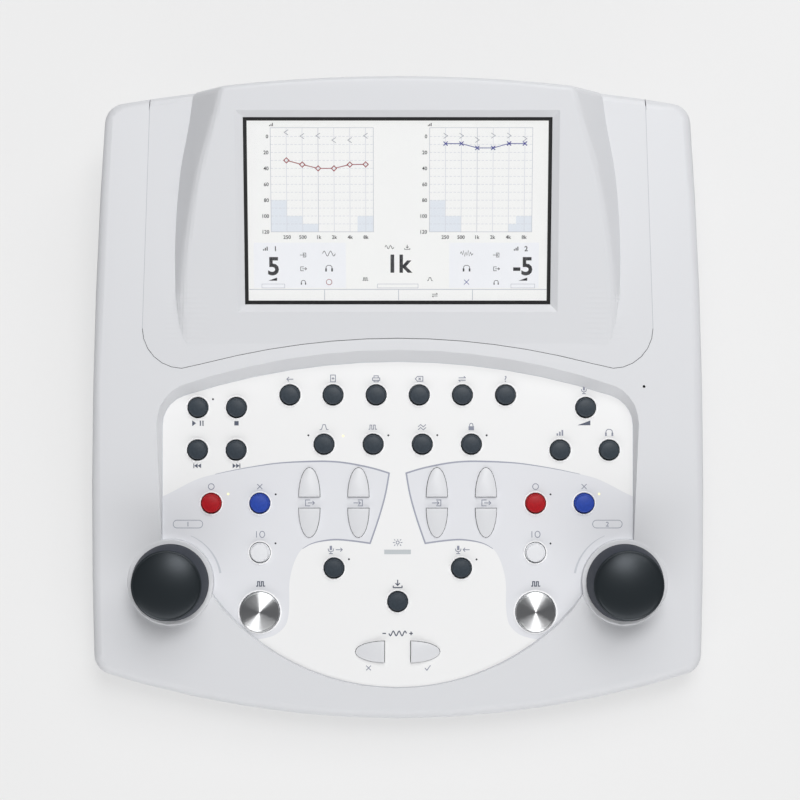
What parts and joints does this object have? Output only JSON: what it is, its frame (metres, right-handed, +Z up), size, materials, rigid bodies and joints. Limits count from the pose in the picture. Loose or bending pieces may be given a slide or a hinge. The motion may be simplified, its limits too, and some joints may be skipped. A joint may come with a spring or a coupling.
{
  "type": "audiometer",
  "caption": "Desktop hearing-test instrument: sloped pale case, raised display hood, keypad of press keys, large level knobs and rear sockets.",
  "frame": {"origin": "centre of the footprint's bounding box, at the bottom of the feet", "axes": "+Z up, -Y towards the person who works the keys, +X to their right"},
  "size_m": [0.3148, 0.3246, 0.0874],
  "materials": {
    "case_plastic": "fine-textured pale grey moulding",
    "tray_plastic": "fine-textured grey moulding",
    "socket_plastic": "dark grey moulding",
    "faceplate_film": "satin white printed film on a plate",
    "black_key_plastic": "satin blue-grey black",
    "red_key_plastic": "satin red",
    "blue_key_plastic": "satin blue",
    "white_key_plastic": "satin white",
    "grey_key_plastic": "satin pale grey",
    "knob_plastic": "soft-touch blue-black",
    "spun_metal": "spun, with a radial sheen",
    "gasket_rubber": "matt black",
    "window_glass": "clear, lightly coated",
    "module_metal": "dull pressed frame",
    "circuit_board": "green solder mask",
    "encoder_metal": "dull plated",
    "screw_steel": "zinc plated",
    "foot_rubber": "matt black"
  },
  "bodies": {
    "case": {"upper_case": "case_plastic", "display_cover": "case_plastic", "screen_gasket": "gasket_rubber", "screen_window": "window_glass", "display_module": "module_metal", "keypad_faceplate": "faceplate_film", "keypad_board": "circuit_board", "knob_encoder_1": "encoder_metal", "knob_encoder_2": "encoder_metal", "base_tray": "tray_plastic", "case_screw_front_left": "screw_steel", "case_screw_front_right": "screw_steel", "case_screw_rear_left": "screw_steel", "case_screw_rear_right": "screw_steel", "foot_front_left": "foot_rubber", "foot_front_right": "foot_rubber", "foot_rear_left": "foot_rubber", "foot_rear_right": "foot_rubber", "main_board": "circuit_board", "rear_socket_panel": "socket_plastic"},
    "play_key": {"play_key": "black_key_plastic"},
    "stop_key": {"stop_key": "black_key_plastic"},
    "talk_key": {"talk_key": "black_key_plastic"},
    "back_key": {"back_key": "black_key_plastic"},
    "new_patient_key": {"new_patient_key": "black_key_plastic"},
    "print_key": {"print_key": "black_key_plastic"},
    "erase_key": {"erase_key": "black_key_plastic"},
    "transfer_key": {"transfer_key": "black_key_plastic"},
    "help_key": {"help_key": "black_key_plastic"},
    "filter_key": {"filter_key": "black_key_plastic"},
    "pulse_key": {"pulse_key": "black_key_plastic"},
    "tracking_key": {"tracking_key": "black_key_plastic"},
    "lock_key": {"lock_key": "black_key_plastic"},
    "rewind_key": {"rewind_key": "black_key_plastic"},
    "forward_key": {"forward_key": "black_key_plastic"},
    "gain_key": {"gain_key": "black_key_plastic"},
    "monitor_key": {"monitor_key": "black_key_plastic"},
    "right_ear_key_1": {"right_ear_key_1": "red_key_plastic"},
    "left_ear_key_1": {"left_ear_key_1": "blue_key_plastic"},
    "right_ear_key_2": {"right_ear_key_2": "red_key_plastic"},
    "left_ear_key_2": {"left_ear_key_2": "blue_key_plastic"},
    "normal_on_key_1": {"normal_on_key_1": "white_key_plastic"},
    "normal_on_key_2": {"normal_on_key_2": "white_key_plastic"},
    "talk_over_key": {"talk_over_key": "black_key_plastic"},
    "talk_back_key": {"talk_back_key": "black_key_plastic"},
    "store_key": {"store_key": "black_key_plastic"},
    "output_up_key_1": {"output_up_key_1": "grey_key_plastic"},
    "output_down_key_1": {"output_down_key_1": "grey_key_plastic"},
    "input_up_key_1": {"input_up_key_1": "grey_key_plastic"},
    "input_down_key_1": {"input_down_key_1": "grey_key_plastic"},
    "input_up_key_2": {"input_up_key_2": "grey_key_plastic"},
    "input_down_key_2": {"input_down_key_2": "grey_key_plastic"},
    "output_up_key_2": {"output_up_key_2": "grey_key_plastic"},
    "output_down_key_2": {"output_down_key_2": "grey_key_plastic"},
    "incorrect_key": {"incorrect_key": "grey_key_plastic"},
    "correct_key": {"correct_key": "grey_key_plastic"},
    "interrupter_1": {"interrupter_1": "spun_metal"},
    "interrupter_2": {"interrupter_2": "spun_metal"},
    "level_knob_1": {"level_knob_1": "knob_plastic"},
    "level_knob_2": {"level_knob_2": "knob_plastic"}
  },
  "joints": [
    {"name": "play_key_press", "type": "slide", "parent": "case", "child": "play_key", "axis": [0, 0.1045, -0.9945], "range_m": [0, 0.0012], "stiffness_N_per_m": 400, "springref_m": -0.002},
    {"name": "stop_key_press", "type": "slide", "parent": "case", "child": "stop_key", "axis": [0, 0.1045, -0.9945], "range_m": [0, 0.0012], "stiffness_N_per_m": 400, "springref_m": -0.002},
    {"name": "talk_key_press", "type": "slide", "parent": "case", "child": "talk_key", "axis": [0, 0.1045, -0.9945], "range_m": [0, 0.0012], "stiffness_N_per_m": 400, "springref_m": -0.002},
    {"name": "back_key_press", "type": "slide", "parent": "case", "child": "back_key", "axis": [0, 0.1045, -0.9945], "range_m": [0, 0.0012], "stiffness_N_per_m": 400, "springref_m": -0.002},
    {"name": "new_patient_key_press", "type": "slide", "parent": "case", "child": "new_patient_key", "axis": [0, 0.1045, -0.9945], "range_m": [0, 0.0012], "stiffness_N_per_m": 400, "springref_m": -0.002},
    {"name": "print_key_press", "type": "slide", "parent": "case", "child": "print_key", "axis": [0, 0.1045, -0.9945], "range_m": [0, 0.0012], "stiffness_N_per_m": 400, "springref_m": -0.002},
    {"name": "erase_key_press", "type": "slide", "parent": "case", "child": "erase_key", "axis": [0, 0.1045, -0.9945], "range_m": [0, 0.0012], "stiffness_N_per_m": 400, "springref_m": -0.002},
    {"name": "transfer_key_press", "type": "slide", "parent": "case", "child": "transfer_key", "axis": [0, 0.1045, -0.9945], "range_m": [0, 0.0012], "stiffness_N_per_m": 400, "springref_m": -0.002},
    {"name": "help_key_press", "type": "slide", "parent": "case", "child": "help_key", "axis": [0, 0.1045, -0.9945], "range_m": [0, 0.0012], "stiffness_N_per_m": 400, "springref_m": -0.002},
    {"name": "filter_key_press", "type": "slide", "parent": "case", "child": "filter_key", "axis": [0, 0.1045, -0.9945], "range_m": [0, 0.0012], "stiffness_N_per_m": 400, "springref_m": -0.002},
    {"name": "pulse_key_press", "type": "slide", "parent": "case", "child": "pulse_key", "axis": [0, 0.1045, -0.9945], "range_m": [0, 0.0012], "stiffness_N_per_m": 400, "springref_m": -0.002},
    {"name": "tracking_key_press", "type": "slide", "parent": "case", "child": "tracking_key", "axis": [0, 0.1045, -0.9945], "range_m": [0, 0.0012], "stiffness_N_per_m": 400, "springref_m": -0.002},
    {"name": "lock_key_press", "type": "slide", "parent": "case", "child": "lock_key", "axis": [0, 0.1045, -0.9945], "range_m": [0, 0.0012], "stiffness_N_per_m": 400, "springref_m": -0.002},
    {"name": "rewind_key_press", "type": "slide", "parent": "case", "child": "rewind_key", "axis": [0, 0.1045, -0.9945], "range_m": [0, 0.0012], "stiffness_N_per_m": 400, "springref_m": -0.002},
    {"name": "forward_key_press", "type": "slide", "parent": "case", "child": "forward_key", "axis": [0, 0.1045, -0.9945], "range_m": [0, 0.0012], "stiffness_N_per_m": 400, "springref_m": -0.002},
    {"name": "gain_key_press", "type": "slide", "parent": "case", "child": "gain_key", "axis": [0, 0.1045, -0.9945], "range_m": [0, 0.0012], "stiffness_N_per_m": 400, "springref_m": -0.002},
    {"name": "monitor_key_press", "type": "slide", "parent": "case", "child": "monitor_key", "axis": [0, 0.1045, -0.9945], "range_m": [0, 0.0012], "stiffness_N_per_m": 400, "springref_m": -0.002},
    {"name": "right_ear_key_1_press", "type": "slide", "parent": "case", "child": "right_ear_key_1", "axis": [0, 0.1045, -0.9945], "range_m": [0, 0.0012], "stiffness_N_per_m": 400, "springref_m": -0.002},
    {"name": "left_ear_key_1_press", "type": "slide", "parent": "case", "child": "left_ear_key_1", "axis": [0, 0.1045, -0.9945], "range_m": [0, 0.0012], "stiffness_N_per_m": 400, "springref_m": -0.002},
    {"name": "right_ear_key_2_press", "type": "slide", "parent": "case", "child": "right_ear_key_2", "axis": [0, 0.1045, -0.9945], "range_m": [0, 0.0012], "stiffness_N_per_m": 400, "springref_m": -0.002},
    {"name": "left_ear_key_2_press", "type": "slide", "parent": "case", "child": "left_ear_key_2", "axis": [0, 0.1045, -0.9945], "range_m": [0, 0.0012], "stiffness_N_per_m": 400, "springref_m": -0.002},
    {"name": "normal_on_key_1_press", "type": "slide", "parent": "case", "child": "normal_on_key_1", "axis": [0, 0.1045, -0.9945], "range_m": [0, 0.0012], "stiffness_N_per_m": 400, "springref_m": -0.002},
    {"name": "normal_on_key_2_press", "type": "slide", "parent": "case", "child": "normal_on_key_2", "axis": [0, 0.1045, -0.9945], "range_m": [0, 0.0012], "stiffness_N_per_m": 400, "springref_m": -0.002},
    {"name": "talk_over_key_press", "type": "slide", "parent": "case", "child": "talk_over_key", "axis": [0, 0.1045, -0.9945], "range_m": [0, 0.0012], "stiffness_N_per_m": 400, "springref_m": -0.002},
    {"name": "talk_back_key_press", "type": "slide", "parent": "case", "child": "talk_back_key", "axis": [0, 0.1045, -0.9945], "range_m": [0, 0.0012], "stiffness_N_per_m": 400, "springref_m": -0.002},
    {"name": "store_key_press", "type": "slide", "parent": "case", "child": "store_key", "axis": [0, 0.1045, -0.9945], "range_m": [0, 0.0012], "stiffness_N_per_m": 400, "springref_m": -0.002},
    {"name": "output_up_key_1_press", "type": "slide", "parent": "case", "child": "output_up_key_1", "axis": [0, 0.1045, -0.9945], "range_m": [0, 0.0012], "stiffness_N_per_m": 400, "springref_m": -0.002},
    {"name": "output_down_key_1_press", "type": "slide", "parent": "case", "child": "output_down_key_1", "axis": [0, 0.1045, -0.9945], "range_m": [0, 0.0012], "stiffness_N_per_m": 400, "springref_m": -0.002},
    {"name": "input_up_key_1_press", "type": "slide", "parent": "case", "child": "input_up_key_1", "axis": [0, 0.1045, -0.9945], "range_m": [0, 0.0012], "stiffness_N_per_m": 400, "springref_m": -0.002},
    {"name": "input_down_key_1_press", "type": "slide", "parent": "case", "child": "input_down_key_1", "axis": [0, 0.1045, -0.9945], "range_m": [0, 0.0012], "stiffness_N_per_m": 400, "springref_m": -0.002},
    {"name": "input_up_key_2_press", "type": "slide", "parent": "case", "child": "input_up_key_2", "axis": [0, 0.1045, -0.9945], "range_m": [0, 0.0012], "stiffness_N_per_m": 400, "springref_m": -0.002},
    {"name": "input_down_key_2_press", "type": "slide", "parent": "case", "child": "input_down_key_2", "axis": [0, 0.1045, -0.9945], "range_m": [0, 0.0012], "stiffness_N_per_m": 400, "springref_m": -0.002},
    {"name": "output_up_key_2_press", "type": "slide", "parent": "case", "child": "output_up_key_2", "axis": [0, 0.1045, -0.9945], "range_m": [0, 0.0012], "stiffness_N_per_m": 400, "springref_m": -0.002},
    {"name": "output_down_key_2_press", "type": "slide", "parent": "case", "child": "output_down_key_2", "axis": [0, 0.1045, -0.9945], "range_m": [0, 0.0012], "stiffness_N_per_m": 400, "springref_m": -0.002},
    {"name": "incorrect_key_press", "type": "slide", "parent": "case", "child": "incorrect_key", "axis": [0, 0.1045, -0.9945], "range_m": [0, 0.0012], "stiffness_N_per_m": 400, "springref_m": -0.002},
    {"name": "correct_key_press", "type": "slide", "parent": "case", "child": "correct_key", "axis": [0, 0.1045, -0.9945], "range_m": [0, 0.0012], "stiffness_N_per_m": 400, "springref_m": -0.002},
    {"name": "interrupter_1_press", "type": "slide", "parent": "case", "child": "interrupter_1", "axis": [0, 0.1045, -0.9945], "range_m": [0, 0.0015], "stiffness_N_per_m": 300, "springref_m": -0.002},
    {"name": "interrupter_2_press", "type": "slide", "parent": "case", "child": "interrupter_2", "axis": [0, 0.1045, -0.9945], "range_m": [0, 0.0015], "stiffness_N_per_m": 300, "springref_m": -0.002},
    {"name": "level_knob_1_turn", "type": "hinge", "parent": "case", "child": "level_knob_1", "pos_m": [-0.1166, -0.09223, 0.03137], "axis": [0, -0.1045, 0.9945], "continuous": true},
    {"name": "level_knob_2_turn", "type": "hinge", "parent": "case", "child": "level_knob_2", "pos_m": [0.1166, -0.09223, 0.03137], "axis": [0, -0.1045, 0.9945], "continuous": true}
  ]
}
